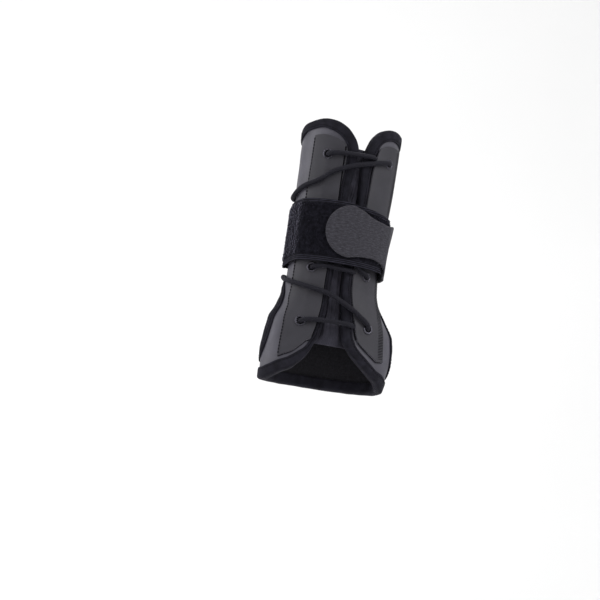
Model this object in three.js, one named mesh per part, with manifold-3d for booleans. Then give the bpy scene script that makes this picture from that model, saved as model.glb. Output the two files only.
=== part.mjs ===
// Lace-up wrist splint, in millimetres, standing on its own frame:
// +Z runs up the forearm, -Y is the back of the hand, +X is the thumb side, and the
// origin is the middle of the wrist inside the hollow. Places on the wrap are given as
// deg (0 at the back of the hand, 90 on the thumb side, 180 at the palm), z and the
// height over the wrap's outer face.
import * as THREE from 'three';
import { mergeVertices } from 'three/addons/utils/BufferGeometryUtils.js';
import Module from 'manifold-3d';

const wasm = await Module();
wasm.setup();

// Driving dimensions
const WALL = 4;
const GAP = 0.3;
const TAPE = 1;
const TAPE_GAP = 0.9;
const PANEL_LIFT = 0.6;
const PANEL_THICK = 1.2;
const RIM_LEG = 6.2;
const HEM_LEG = 6;
const THUMB_LEG = 5;
const PANEL_BELOW_RIM = 10.4;
const PANEL_ABOVE_HEM = 9.8;
const PANEL_CORNER = { fromDeg: 40, toDeg: 52, rise: 3 };
const CORD_RADIUS = 1.6;
const CORD_CLEAR = 0.35;
const CORD_SIDES = 8;
const CORD_STEPS = 112;
const EYELET = { hole: 2.3, rim: 3.7, barrel: 2.8, flange: 0.7, chamfer: 0.4, seat: 3.35, clear: 0.35 };
const EYELET_SIDES = 10;

// How finely the soft pieces are faceted: columns along, rows across
const FACETS = {
  shell: [32, 15], panel: [6, 12], tongue: [6, 8], tab: [4, 4], loop: [50, 2], hook: [40, 2],
  edge: 30, opening: 11, thumb: 24,
};
const FACET_TOLERANCE = 0.05;
const OPENING_CROWD = 0.05;
const WELD = 1e-4;
const NORMAL_STEP = 0.05;
const TONGUE = { fromDeg: -34, toDeg: 30, bottom: -42, top: 98, thick: 2.2 };
const LOOP_STRAP = { fromDeg: -178, toDeg: 97, thick: 2.2, crowd: 1 };
const HOOK_STRAP = { fromDeg: -26.8, toDeg: 172, thick: 1.8, crowd: 1.7, tip: 0.6 };
const PULL_TAB = { fromDeg: -150, toDeg: -124, bottom: 2.6, top: 67, thick: 1.2 };
const THUMB_HOLE = { deg: 109, z: -28.5, halfDeg: 25, halfHeight: 25.5, ease: 0.5 };

// Outer face of the wrap, one row for each section up the arm
const SECTIONS = [
  { z: -72, halfWidth: 42.5, halfDepth: 21.4, centreX: 0.5, centreY: -6 },
  { z: -45, halfWidth: 45.9, halfDepth: 22, centreX: 2.7, centreY: -5 },
  { z: -30, halfWidth: 44.8, halfDepth: 22.5, centreX: 2.9, centreY: -4 },
  { z: -16, halfWidth: 37.9, halfDepth: 23.2, centreX: 2.2, centreY: -2 },
  { z: -8, halfWidth: 34.4, halfDepth: 23.6, centreX: 1.3, centreY: -1 },
  { z: 0, halfWidth: 32.7, halfDepth: 23.9, centreX: 0.5, centreY: -0.4 },
  { z: 14, halfWidth: 31.8, halfDepth: 24.3, centreX: 0.3, centreY: 0 },
  { z: 45, halfWidth: 32.8, halfDepth: 25.4, centreX: 0.3, centreY: 0 },
  { z: 80, halfWidth: 34.4, halfDepth: 26.7, centreX: 0.3, centreY: 0 },
  { z: 118, halfWidth: 34.8, halfDepth: 28, centreX: 0.1, centreY: 0 },
];

// The two edges of the opening down the back of the hand, and the binding's width on each
const OPENING = [
  { z: -42, ulnar: -21.2, radial: 11.8, ulnarLeg: 5.2, radialLeg: 5.6 },
  { z: -38, ulnar: -18.6, radial: 7.6, ulnarLeg: 3.6, radialLeg: 5.6 },
  { z: -28, ulnar: -17, radial: 4.8, ulnarLeg: 2.2, radialLeg: 5.8 },
  { z: -11, ulnar: -16.4, radial: 4.6, ulnarLeg: 2.2, radialLeg: 5 },
  { z: 9, ulnar: -15.2, radial: 5.2, ulnarLeg: 2.2, radialLeg: 4.1 },
  { z: 45, ulnar: -12.6, radial: 9, ulnarLeg: 2.8, radialLeg: 3.8 },
  { z: 60, ulnar: -10.5, radial: 9.8, ulnarLeg: 3.6, radialLeg: 3.8 },
  { z: 70, ulnar: -8.4, radial: 8.4, ulnarLeg: 4.8, radialLeg: 4.6 },
  { z: 83, ulnar: -5.4, radial: 7, ulnarLeg: 5.8, radialLeg: 5.4 },
  { z: 96, ulnar: -4.6, radial: 9.2, ulnarLeg: 6.2, radialLeg: 6 },
];

// The rim at the forearm and the hem at the hand, from the opening right round the palm
const RIM = [
  { deg: 9.2, z: 96 }, { deg: 10.4, z: 98.6 }, { deg: 13, z: 102.5 }, { deg: 16.1, z: 106 },
  { deg: 22.1, z: 110 }, { deg: 29.5, z: 112.8 }, { deg: 37.3, z: 114.6 }, { deg: 48, z: 115.5 },
  { deg: 59, z: 115.4 }, { deg: 75, z: 114.5 }, { deg: 104, z: 110.5 }, { deg: 180, z: 104 },
  { deg: 256, z: 107.5 }, { deg: 281, z: 111.8 }, { deg: 292, z: 112.7 }, { deg: 303, z: 113.7 },
  { deg: 312, z: 114.3 }, { deg: 321, z: 113.8 }, { deg: 329, z: 112.7 }, { deg: 337.3, z: 110.2 },
  { deg: 343, z: 107.7 }, { deg: 347.3, z: 105.1 }, { deg: 351.3, z: 101.8 }, { deg: 354.1, z: 98.3 },
  { deg: 355.4, z: 96 },
];
const HEM = [
  { deg: 11.8, z: -42 }, { deg: 14.5, z: -44.3 }, { deg: 21, z: -48.4 }, { deg: 32, z: -53.6 },
  { deg: 44.3, z: -58.1 }, { deg: 54.6, z: -60.4 }, { deg: 66, z: -63.2 }, { deg: 80, z: -65.2 },
  { deg: 120, z: -66.8 }, { deg: 180, z: -67.5 }, { deg: 240, z: -69 }, { deg: 279, z: -69.6 },
  { deg: 297, z: -67.1 }, { deg: 310, z: -63.6 }, { deg: 320, z: -60.8 }, { deg: 328, z: -55.7 },
  { deg: 333, z: -51.4 }, { deg: 336, z: -47.4 }, { deg: 338.8, z: -42 },
];

// Inner and outer edges of the two lace panels
const PANEL = [
  { z: -55, ulnarIn: -39, ulnarOut: -55, radialIn: 27, radialOut: 54 },
  { z: -38, ulnarIn: -28.4, ulnarOut: -54.6, radialIn: 19, radialOut: 50.2 },
  { z: -29, ulnarIn: -21.2, ulnarOut: -55.5, radialIn: 14.6, radialOut: 49.5 },
  { z: -20, ulnarIn: -20.6, ulnarOut: -59, radialIn: 14, radialOut: 54 },
  { z: -11, ulnarIn: -20.6, ulnarOut: -65, radialIn: 13.9, radialOut: 62 },
  { z: 0, ulnarIn: -20.2, ulnarOut: -66.5, radialIn: 13.9, radialOut: 65 },
  { z: 12, ulnarIn: -19.7, ulnarOut: -67.6, radialIn: 13.9, radialOut: 66 },
  { z: 50, ulnarIn: -18.4, ulnarOut: -63, radialIn: 17.1, radialOut: 66 },
  { z: 80, ulnarIn: -18.8, ulnarOut: -60, radialIn: 17.9, radialOut: 66 },
  { z: 92, ulnarIn: -18.8, ulnarOut: -59.6, radialIn: 20.2, radialOut: 66 },
  { z: 110, ulnarIn: -18.4, ulnarOut: -59.3, radialIn: 29, radialOut: 66 },
];

const EYELETS = [
  { ulnar: -37.5, ulnarZ: 89.8, radial: 40.2, radialZ: 91.9 },
  { ulnar: -38, ulnarZ: 50, radial: 37, radialZ: 50 },
  { ulnar: -38.9, ulnarZ: 9.6, radial: 33.4, radialZ: 9.8 },
  { ulnar: -36.4, ulnarZ: -29.4, radial: 27.8, radialZ: -26.9 },
];

// The loop strap's middle line and width
const LOOP_SHAPE = [
  { deg: -180, z: 33, width: 41.6 }, { deg: -110, z: 33.7, width: 41.6 }, { deg: -75, z: 34.8, width: 43.6 },
  { deg: -20, z: 35.1, width: 43.6 }, { deg: 10, z: 34.7, width: 42.2 }, { deg: 40, z: 33.6, width: 39.6 },
  { deg: 66, z: 31.6, width: 37.4 }, { deg: 100, z: 29.9, width: 37.4 },
];

// How far the inner face of each strap stands off the wrap
const LOOP_LIFT = [
  { deg: -180, lift: 0.6 }, { deg: -162, lift: 0.6 }, { deg: -155, lift: 2 }, { deg: -119, lift: 2 },
  { deg: -110, lift: 0.7 }, { deg: -86, lift: 0.7 }, { deg: -70, lift: 2.3 }, { deg: -52, lift: 6.4 },
  { deg: 45, lift: 6.4 }, { deg: 60, lift: 2.4 }, { deg: 70, lift: 2 }, { deg: 84, lift: 0.7 },
  { deg: 100, lift: 0.7 },
];
const HOOK_LIFT = [
  { deg: -30, lift: 9 }, { deg: 45, lift: 9 }, { deg: 60, lift: 5 }, { deg: 70, lift: 4.6 },
  { deg: 84, lift: 3.3 }, { deg: 101, lift: 3.3 }, { deg: 112, lift: 0.7 }, { deg: 180, lift: 0.6 },
];

// The hook strap behind the middle of its round end: middle line and width
const HOOK_SHAPE = [
  { deg: -1, z: 36.5, width: 36.2 }, { deg: 10, z: 36.1, width: 31.8 }, { deg: 17, z: 35.2, width: 29 },
  { deg: 28, z: 34.6, width: 26.9 }, { deg: 38, z: 33.6, width: 27.5 }, { deg: 46, z: 32.3, width: 30.6 },
  { deg: 57, z: 31, width: 36.8 }, { deg: 70, z: 31.2, width: 39.5 }, { deg: 110, z: 31.6, width: 39 },
  { deg: 180, z: 33, width: 39 },
];

// The lace's route through the eyelets, from the pull tab's upper end to its lower end
const UNDER = -1.5;
const INSIDE = 1.2;
const MOUTH = 3.6;
const OVER = PANEL_LIFT + PANEL_THICK + GAP + CORD_RADIUS;
const CROSSING = 3.3;
const ON_WRAP = CORD_RADIUS + GAP;
const LACE_ROUTE = [
  { deg: -122.7, z: 61.5, n: ON_WRAP }, { deg: -104, z: 61, n: ON_WRAP }, { deg: -88, z: 62, n: ON_WRAP },
  { deg: -78, z: 64.2, n: ON_WRAP }, { deg: -67, z: 66.2, n: 2.6 }, { deg: -58, z: 67.5, n: OVER },
  { deg: -48.7, z: 69.2, n: OVER }, { deg: -38.2, z: 72.6, n: OVER }, { deg: -29.8, z: 76.6, n: OVER },
  { deg: -20.4, z: 79.7, n: OVER }, { deg: -8.8, z: 82.9, n: OVER }, { deg: 3.2, z: 85.6, n: OVER },
  { deg: 18.9, z: 88.8, n: OVER }, { deg: 30.5, z: 90.9, n: 4.4 }, { deg: 37.7, z: 91.8, n: MOUTH },
  { deg: 40.2, z: 91.9, n: INSIDE }, { deg: 37.2, z: 92, n: -0.9 }, { deg: 31.7, z: 92.1, n: UNDER },
  { deg: 25, z: 92.2, n: UNDER }, { deg: 19.5, z: 92.2, n: 0.5 }, { deg: 13.5, z: 92.2, n: CROSSING },
  { deg: 2, z: 91.8, n: CROSSING }, { deg: -15, z: 91.3, n: 3.5 }, { deg: -28, z: 90.7, n: 4.4 },
  { deg: -35, z: 89.9, n: MOUTH }, { deg: -37.5, z: 89.8, n: INSIDE }, { deg: -37.5, z: 88.1, n: -0.9 },
  { deg: -37.6, z: 85, n: UNDER }, { deg: -37.8, z: 70, n: UNDER }, { deg: -38, z: 54.8, n: UNDER },
  { deg: -38, z: 51.7, n: -0.9 }, { deg: -38, z: 50, n: INSIDE }, { deg: -35.5, z: 50, n: MOUTH },
  { deg: -27, z: 50, n: 4.3 }, { deg: -14, z: 50.2, n: 3.6 }, { deg: 2, z: 50.4, n: CROSSING },
  { deg: 11.5, z: 50.5, n: CROSSING }, { deg: 18.5, z: 50.4, n: 0.5 }, { deg: 23.5, z: 50.2, n: UNDER },
  { deg: 29, z: 50, n: UNDER }, { deg: 34.2, z: 50, n: -0.9 }, { deg: 37, z: 50, n: INSIDE },
  { deg: 36, z: 48.4, n: MOUTH }, { deg: 31, z: 43.5, n: 4.3 }, { deg: 23, z: 38, n: OVER },
  { deg: 14, z: 32, n: OVER }, { deg: 10, z: 26, n: OVER }, { deg: 12.5, z: 18.5, n: OVER },
  { deg: 18, z: 13.8, n: OVER }, { deg: 25.5, z: 11.3, n: 4.3 }, { deg: 30.9, z: 10, n: MOUTH },
  { deg: 33.4, z: 9.8, n: INSIDE }, { deg: 30.4, z: 9.8, n: -0.9 }, { deg: 25.4, z: 10, n: UNDER },
  { deg: 20.5, z: 10.2, n: UNDER }, { deg: 15.2, z: 10.4, n: 0.5 }, { deg: 9, z: 10.7, n: CROSSING },
  { deg: -8, z: 11, n: CROSSING }, { deg: -18.8, z: 11.5, n: 3.6 }, { deg: -28.5, z: 11, n: 4.3 },
  { deg: -36.4, z: 9.7, n: MOUTH }, { deg: -38.9, z: 9.6, n: INSIDE }, { deg: -38.9, z: 7.9, n: -0.9 },
  { deg: -38.9, z: 4.6, n: UNDER }, { deg: -38, z: -10, n: UNDER }, { deg: -36.6, z: -24.4, n: UNDER },
  { deg: -36.4, z: -27.7, n: -0.9 }, { deg: -36.4, z: -29.4, n: INSIDE },
  { deg: -34.3, z: -29.2, n: MOUTH }, { deg: -28, z: -28.1, n: 4.3 }, { deg: -19.4, z: -27.4, n: 3.6 },
  { deg: -4, z: -27, n: CROSSING }, { deg: 8.5, z: -27, n: CROSSING }, { deg: 13.4, z: -27, n: 0.5 },
  { deg: 17, z: -27, n: UNDER }, { deg: 21.5, z: -27, n: UNDER }, { deg: 25.6, z: -26.9, n: -0.9 },
  { deg: 27.8, z: -26.9, n: INSIDE }, { deg: 26.8, z: -25.4, n: MOUTH }, { deg: 23.5, z: -23, n: 4.3 },
  { deg: 19.5, z: -20.5, n: OVER }, { deg: 14, z: -17.4, n: OVER }, { deg: 8.9, z: -15.4, n: OVER },
  { deg: 0.9, z: -12.6, n: OVER }, { deg: -10.2, z: -9, n: OVER }, { deg: -18.7, z: -7.2, n: OVER },
  { deg: -28.7, z: -6, n: OVER }, { deg: -41, z: -4.6, n: OVER }, { deg: -62, z: -2.1, n: OVER },
  { deg: -72, z: -0.8, n: 2.8 }, { deg: -86, z: 1, n: ON_WRAP }, { deg: -104, z: 3.8, n: ON_WRAP },
  { deg: -122.7, z: 5, n: ON_WRAP },
];

// Smooth curve through the rows of a table, with no overshoot between them
function through(rows, along, key) {
  const x = rows.map((row) => row[along]);
  const y = rows.map((row) => row[key]);
  const last = x.length - 1;
  const rise = (i) => (y[i + 1] - y[i]) / (x[i + 1] - x[i]);
  const slope = x.map((_, i) => {
    if (i === 0 || i === last) return rise(Math.min(i, last - 1));
    const product = rise(i - 1) * rise(i);
    return product <= 0 ? 0 : (2 * product) / (rise(i - 1) + rise(i));
  });
  return (value) => {
    const v = THREE.MathUtils.clamp(value, x[0], x[last]);
    const i = Math.max(0, x.findIndex((knot) => knot >= v) - 1);
    const step = x[i + 1] - x[i];
    const t = (v - x[i]) / step;
    const back = 1 - t;
    return (1 + 2 * t) * back * back * y[i] + t * back * back * step * slope[i]
      + t * t * (3 - 2 * t) * y[i + 1] - t * t * back * step * slope[i + 1];
  };
}

const halfWidth = through(SECTIONS, 'z', 'halfWidth');
const halfDepth = through(SECTIONS, 'z', 'halfDepth');
const centreX = through(SECTIONS, 'z', 'centreX');
const centreY = through(SECTIONS, 'z', 'centreY');
const rimAt = through(RIM, 'deg', 'z');
const hemAt = through(HEM, 'deg', 'z');
const loopLine = through(LOOP_SHAPE, 'deg', 'z');
const loopWidth = through(LOOP_SHAPE, 'deg', 'width');
const loopLift = through(LOOP_LIFT, 'deg', 'lift');
const hookLift = through(HOOK_LIFT, 'deg', 'lift');
const hookLine = through(HOOK_SHAPE, 'deg', 'z');
const hookBreadth = through(HOOK_SHAPE, 'deg', 'width');
const around = (deg) => (deg + 360) % 360;
const mix = THREE.MathUtils.lerp;

function formPoint(deg, z) {
  const angle = THREE.MathUtils.degToRad(deg);
  const x = centreX(z) + halfWidth(z) * Math.sin(angle);
  const y = centreY(z) - halfDepth(z) * Math.cos(angle);
  return new THREE.Vector3(x, y, z);
}

// A point at height n over the outer face of the wrap
function onWrap(deg, z, n) {
  const h = NORMAL_STEP;
  const across = formPoint(deg + h, z).sub(formPoint(deg - h, z));
  const up = formPoint(deg, z + h).sub(formPoint(deg, z - h));
  const normal = across.cross(up).normalize();
  return formPoint(deg, z).addScaledVector(normal, n);
}

const mmPerDeg = (deg, z) => formPoint(deg + 0.5, z).distanceTo(formPoint(deg - 0.5, z));

// A closed mesh from points and triangles, turned outward
function closedMesh(points, triangles) {
  let volume = 0;
  const cross = new THREE.Vector3();
  for (const [a, b, c] of triangles) {
    volume += points[a].dot(cross.crossVectors(points[b], points[c]));
  }
  const outward = volume > 0 ? triangles : triangles.map(([a, b, c]) => [a, c, b]);
  const geometry = new THREE.BufferGeometry().setFromPoints(points);
  geometry.setIndex(outward.flat());
  return geometry;
}

// A wall over a grid of places, from an inner height to an outer height
function wall(place, columns, rows, inner, outer) {
  const points = [];
  const index = (i, j, side) => (i * (rows + 1) + j) * 2 + side;
  for (let i = 0; i <= columns; i += 1) {
    for (let j = 0; j <= rows; j += 1) {
      const { deg, z } = place(i / columns, j / rows);
      points.push(onWrap(deg, z, inner(deg)), onWrap(deg, z, outer(deg)));
    }
  }
  const triangles = [];
  const quad = (a, b, c, d) => triangles.push([a, b, c], [a, c, d]);
  for (let i = 0; i < columns; i += 1) {
    for (let j = 0; j < rows; j += 1) {
      quad(index(i, j, 1), index(i + 1, j, 1), index(i + 1, j + 1, 1), index(i, j + 1, 1));
      quad(index(i, j, 0), index(i, j + 1, 0), index(i + 1, j + 1, 0), index(i + 1, j, 0));
    }
    quad(index(i, 0, 0), index(i + 1, 0, 0), index(i + 1, 0, 1), index(i, 0, 1));
    quad(index(i, rows, 1), index(i + 1, rows, 1), index(i + 1, rows, 0), index(i, rows, 0));
  }
  for (let j = 0; j < rows; j += 1) {
    quad(index(0, j, 1), index(0, j + 1, 1), index(0, j + 1, 0), index(0, j, 0));
    quad(index(columns, j, 0), index(columns, j + 1, 0), index(columns, j + 1, 1), index(columns, j, 1));
  }
  return closedMesh(points, triangles);
}

// A closed ring lofted through sections that all have the same number of points
function ring(sections) {
  const count = sections[0].length;
  const triangles = [];
  sections.forEach((_, i) => {
    const next = (i + 1) % sections.length;
    for (let k = 0; k < count; k += 1) {
      const m = (k + 1) % count;
      triangles.push([i * count + k, next * count + k, next * count + m]);
      triangles.push([i * count + k, next * count + m, i * count + m]);
    }
  });
  return closedMesh(sections.flat(), triangles);
}

// A plug through the wrap with the given outline, for cutting holes
function plug(outline, low, high) {
  const count = outline.length;
  const mean = (key) => outline.reduce((sum, place) => sum + place[key], 0) / count;
  const points = outline.flatMap(({ deg, z }) => [onWrap(deg, z, low), onWrap(deg, z, high)]);
  points.push(onWrap(mean('deg'), mean('z'), low), onWrap(mean('deg'), mean('z'), high));
  const triangles = [];
  for (let i = 0; i < count; i += 1) {
    const j = (i + 1) % count;
    triangles.push([2 * i, 2 * j, 2 * j + 1], [2 * i, 2 * j + 1, 2 * i + 1]);
    triangles.push([2 * i, 2 * count, 2 * j], [2 * i + 1, 2 * j + 1, 2 * count + 1]);
  }
  return closedMesh(points, triangles);
}

// Places between four edges, each a function from 0 to 1
function between({ bottom, top, start, end }) {
  const blend = (key, s, t) => {
    const edges = mix(bottom(s)[key], top(s)[key], t) + mix(start(t)[key], end(t)[key], s);
    const low = mix(bottom(0)[key], bottom(1)[key], s);
    const high = mix(top(0)[key], top(1)[key], s);
    return edges - mix(low, high, t);
  };
  return (s, t) => ({ deg: blend('deg', s, t), z: blend('z', s, t) });
}

function solidOf(geometry) {
  const bare = geometry.clone();
  bare.deleteAttribute('normal');
  bare.deleteAttribute('uv');
  const merged = mergeVertices(bare, WELD);
  const vertProperties = new Float32Array(merged.attributes.position.array);
  const triVerts = new Uint32Array(merged.index.array);
  return new wasm.Manifold(new wasm.Mesh({ numProp: 3, vertProperties, triVerts }));
}

// The largest body left when the cutters are taken out of a piece
function cutBy(geometry, cutters) {
  const cut = cutters.reduce((solid, cutter) => solid.subtract(cutter), solidOf(geometry));
  const bodies = cut.decompose().sort((a, b) => b.volume() - a.volume());
  const mesh = bodies[0].simplify(FACET_TOLERANCE).getMesh();
  const result = new THREE.BufferGeometry();
  result.setAttribute('position', new THREE.BufferAttribute(mesh.vertProperties, 3));
  result.setIndex(new THREE.BufferAttribute(mesh.triVerts, 1));
  return result;
}

function cord(radius) {
  const stations = LACE_ROUTE.map(({ deg, z, n }) => onWrap(deg, z, n));
  const path = new THREE.CatmullRomCurve3(stations, false, 'centripetal');
  path.arcLengthDivisions = 2000;
  const section = new THREE.Shape();
  for (let i = 0; i < CORD_SIDES; i += 1) {
    const angle = (2 * Math.PI * i) / CORD_SIDES;
    section[i ? 'lineTo' : 'moveTo'](radius * Math.cos(angle), radius * Math.sin(angle));
  }
  return new THREE.ExtrudeGeometry(section, { steps: CORD_STEPS, extrudePath: path });
}

// Wrap: four edges round its outline, then the two thumb holes
const opening = {
  ulnar: through(OPENING, 'z', 'ulnar'),
  radial: through(OPENING, 'z', 'radial'),
  ulnarLeg: through(OPENING, 'z', 'ulnarLeg'),
  radialLeg: through(OPENING, 'z', 'radialLeg'),
};
const LOW = OPENING[0].z;
const HIGH = OPENING[OPENING.length - 1].z;
const ease = (s) => s - OPENING_CROWD * Math.sin(2 * Math.PI * s);
const outline = {
  bottom: (s) => {
    const deg = mix(HEM[0].deg, HEM[HEM.length - 1].deg, ease(s));
    return { deg, z: hemAt(deg), leg: HEM_LEG };
  },
  top: (s) => {
    const deg = mix(RIM[0].deg, RIM[RIM.length - 1].deg, ease(s));
    return { deg, z: rimAt(deg), leg: RIM_LEG };
  },
  start: (t) => {
    const z = mix(LOW, HIGH, t);
    return { deg: opening.radial(z), z, leg: opening.radialLeg(z) };
  },
  end: (t) => {
    const z = mix(LOW, HIGH, t);
    return { deg: 360 + opening.ulnar(z), z, leg: opening.ulnarLeg(z) };
  },
};

function thumbOutline(side, ease) {
  const count = FACETS.thumb;
  return Array.from({ length: count }, (_, i) => {
    const angle = (2 * Math.PI * i) / count;
    return {
      deg: side * (THUMB_HOLE.deg + (THUMB_HOLE.halfDeg + ease) * Math.cos(angle)),
      z: THUMB_HOLE.z + (THUMB_HOLE.halfHeight + ease) * Math.sin(angle),
      leg: THUMB_LEG,
    };
  });
}

// Folded tape over an edge: a U round the wall, whose legs lie along the wrap
function binding(loop, turn) {
  const high = TAPE_GAP + TAPE;
  const low = -WALL - high;
  const sections = loop.map((here, i) => {
    const before = loop[(i + loop.length - 1) % loop.length];
    const after = loop[(i + 1) % loop.length];
    const scale = mmPerDeg(here.deg, here.z);
    const run = new THREE.Vector2((after.deg - before.deg) * scale, after.z - before.z).normalize();
    const at = (m, n) => onWrap(here.deg - turn * run.y * m / scale, here.z + turn * run.x * m, n);
    const { leg } = here;
    const edge = -TAPE_GAP;
    const outside = [at(leg, high), at(edge, high), at(-high, edge), at(-high, edge - WALL)];
    const inside = [at(edge, low), at(leg, low), at(leg, low + TAPE), at(edge, low + TAPE)];
    return [...outside, ...inside, at(edge, TAPE_GAP), at(leg, TAPE_GAP)];
  });
  return ring(sections);
}

function outlineLoop() {
  const sample = (edge, count, backward) => Array.from({ length: count }, (_, i) => {
    const t = i / count;
    return edge(backward ? 1 - t : t);
  });
  return [
    ...sample(outline.bottom, FACETS.edge, false),
    ...sample(outline.end, FACETS.opening, false),
    ...sample(outline.top, FACETS.edge, true),
    ...sample(outline.start, FACETS.opening, true),
  ];
}

function panelPlace(side) {
  const inner = through(PANEL, 'z', `${side}In`);
  const outer = through(PANEL, 'z', `${side}Out`);
  const topZ = (deg) => rimAt(around(deg)) - PANEL_BELOW_RIM;
  const bottomZ = (deg) => {
    const rounding = THREE.MathUtils.smoothstep(deg, PANEL_CORNER.fromDeg, PANEL_CORNER.toDeg);
    return hemAt(around(deg)) + PANEL_ABOVE_HEM + PANEL_CORNER.rise * rounding;
  };
  const corner = (edge, level, guess) => {
    const z = [1, 2, 3].reduce((now) => level(edge(now)), guess);
    return { deg: edge(z), z };
  };
  const rail = (edge) => {
    const low = corner(edge, bottomZ, LOW).z;
    const high = corner(edge, topZ, HIGH).z;
    return (t) => ({ deg: edge(mix(low, high, t)), z: mix(low, high, t) });
  };
  const [innerRail, outerRail] = [rail(inner), rail(outer)];
  const cross = (level, t) => (s) => {
    const deg = mix(innerRail(t).deg, outerRail(t).deg, s);
    return { deg, z: level(deg) };
  };
  return between({
    bottom: cross(bottomZ, 0), top: cross(topZ, 1), start: innerRail, end: outerRail,
  });
}

// Eyelet: a flange on the panel and a short barrel through it, turned about its own axis
function eyeletGeometry(deg, z) {
  const top = PANEL_LIFT + PANEL_THICK + EYELET.clear;
  const profile = [
    [EYELET.hole, PANEL_LIFT], [EYELET.barrel, PANEL_LIFT], [EYELET.barrel, top], [EYELET.rim, top],
    [EYELET.rim - EYELET.chamfer, top + EYELET.flange], [EYELET.hole, top + EYELET.flange],
    [EYELET.hole, PANEL_LIFT],
  ].map(([r, n]) => new THREE.Vector2(r, n));
  const geometry = new THREE.LatheGeometry(profile, EYELET_SIDES);
  const base = onWrap(deg, z, 0);
  const normal = onWrap(deg, z, 1).sub(base);
  const turn = new THREE.Quaternion().setFromUnitVectors(new THREE.Vector3(0, 1, 0), normal);
  geometry.applyQuaternion(turn);
  geometry.translate(base.x, base.y, base.z);
  return geometry;
}

function seatHole(deg, z) {
  const places = Array.from({ length: EYELET_SIDES }, (_, i) => {
    const angle = (2 * Math.PI * i) / EYELET_SIDES;
    const offset = EYELET.seat * Math.cos(angle) / mmPerDeg(deg, z);
    return { deg: deg + offset, z: z + EYELET.seat * Math.sin(angle) };
  });
  return solidOf(plug(places, PANEL_LIFT - GAP, PANEL_LIFT + PANEL_THICK + GAP));
}

function strapPlace(strap, line, width) {
  return (s, t) => {
    const deg = mix(strap.fromDeg, strap.toDeg, s ** strap.crowd);
    return { deg, z: line(deg) + (t - 0.5) * width(deg) };
  };
}

// Width of the hook strap: a round end, then a neck and the full width behind it
function hookWidth(deg) {
  const { deg: endDeg, width } = HOOK_SHAPE[0];
  if (deg >= endDeg) return hookBreadth(deg);
  const across = (endDeg - deg) / (endDeg - HOOK_STRAP.fromDeg);
  return Math.max(HOOK_STRAP.tip, width * Math.sqrt(Math.max(0, 1 - across ** 2)));
}

const FINISH = {
  wrap: { color: '#4b4d55', roughness: 0.5 },
  tape: { color: '#141416', roughness: 0.85 },
  panel: { color: '#35363a', roughness: 0.6 },
  metal: { color: '#26272a', roughness: 0.35, metalness: 0.9 },
  knit: { color: '#1b1c1f', roughness: 0.9 },
  lace: { color: '#101012', roughness: 0.8 },
  pile: { color: '#0e0e10', roughness: 0.95 },
  brushed: { color: '#2e3035', roughness: 0.9 },
};

const splint = new THREE.Group();
splint.name = 'wrist_splint';

function addPiece(name, geometry, finish) {
  const mesh = new THREE.Mesh(geometry, new THREE.MeshStandardMaterial(FINISH[finish]));
  mesh.name = name;
  splint.add(mesh);
}

const laceRoom = solidOf(cord(CORD_RADIUS + CORD_CLEAR));
const level = (height) => () => height;

const thumbPlug = (side) => solidOf(plug(thumbOutline(side, THUMB_HOLE.ease), -2 * WALL, WALL));
const thumbPlugs = [1, -1].map(thumbPlug);
const shellWall = wall(between(outline), ...FACETS.shell, level(-WALL), level(0));
addPiece('shell', cutBy(shellWall, [...thumbPlugs, laceRoom]), 'wrap');
addPiece('edge_binding', cutBy(binding(outlineLoop(), 1), [laceRoom]), 'tape');
addPiece('thumb_binding_radial', binding(thumbOutline(1, 0), -1), 'tape');
addPiece('thumb_binding_ulnar', binding(thumbOutline(-1, 0), 1), 'tape');

for (const side of ['ulnar', 'radial']) {
  const holes = EYELETS.map((pair) => seatHole(pair[side], pair[`${side}Z`]));
  const sheet = wall(panelPlace(side), ...FACETS.panel, level(PANEL_LIFT), level(PANEL_LIFT + PANEL_THICK));
  addPiece(`lace_panel_${side}`, cutBy(sheet, [...holes, laceRoom]), 'panel');
  EYELETS.forEach((pair, i) => {
    const eyelet = eyeletGeometry(pair[side], pair[`${side}Z`]);
    addPiece(`eyelet_${side}_${i + 1}`, cutBy(eyelet, [laceRoom]), 'metal');
  });
}

const tonguePlace = (s, t) => ({
  deg: mix(TONGUE.fromDeg, TONGUE.toDeg, s),
  z: mix(TONGUE.bottom, TONGUE.top, t),
});
const tongueTop = -WALL - TAPE_GAP - TAPE - GAP;
const tongueLow = tongueTop - TONGUE.thick;
addPiece('tongue', wall(tonguePlace, ...FACETS.tongue, level(tongueLow), level(tongueTop)), 'knit');

addPiece('lace', cord(CORD_RADIUS), 'lace');
const tabPlace = (s, t) => ({
  deg: mix(PULL_TAB.fromDeg, PULL_TAB.toDeg, s),
  z: mix(PULL_TAB.bottom, PULL_TAB.top, t),
});
const tabHigh = GAP + PULL_TAB.thick;
addPiece('lace_pull_tab', wall(tabPlace, ...FACETS.tab, level(GAP), level(tabHigh)), 'brushed');

const loopPlace = strapPlace(LOOP_STRAP, loopLine, loopWidth);
const loopOuter = (deg) => loopLift(deg) + LOOP_STRAP.thick;
addPiece('loop_strap', wall(loopPlace, ...FACETS.loop, loopLift, loopOuter), 'pile');
const hookPlace = strapPlace(HOOK_STRAP, hookLine, hookWidth);
const hookOuter = (deg) => hookLift(deg) + HOOK_STRAP.thick;
addPiece('hook_strap', wall(hookPlace, ...FACETS.hook, hookLift, hookOuter), 'brushed');

export default splint;
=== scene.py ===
import math

import bpy
import numpy as np
from mathutils import Euler, Matrix, Vector


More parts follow.
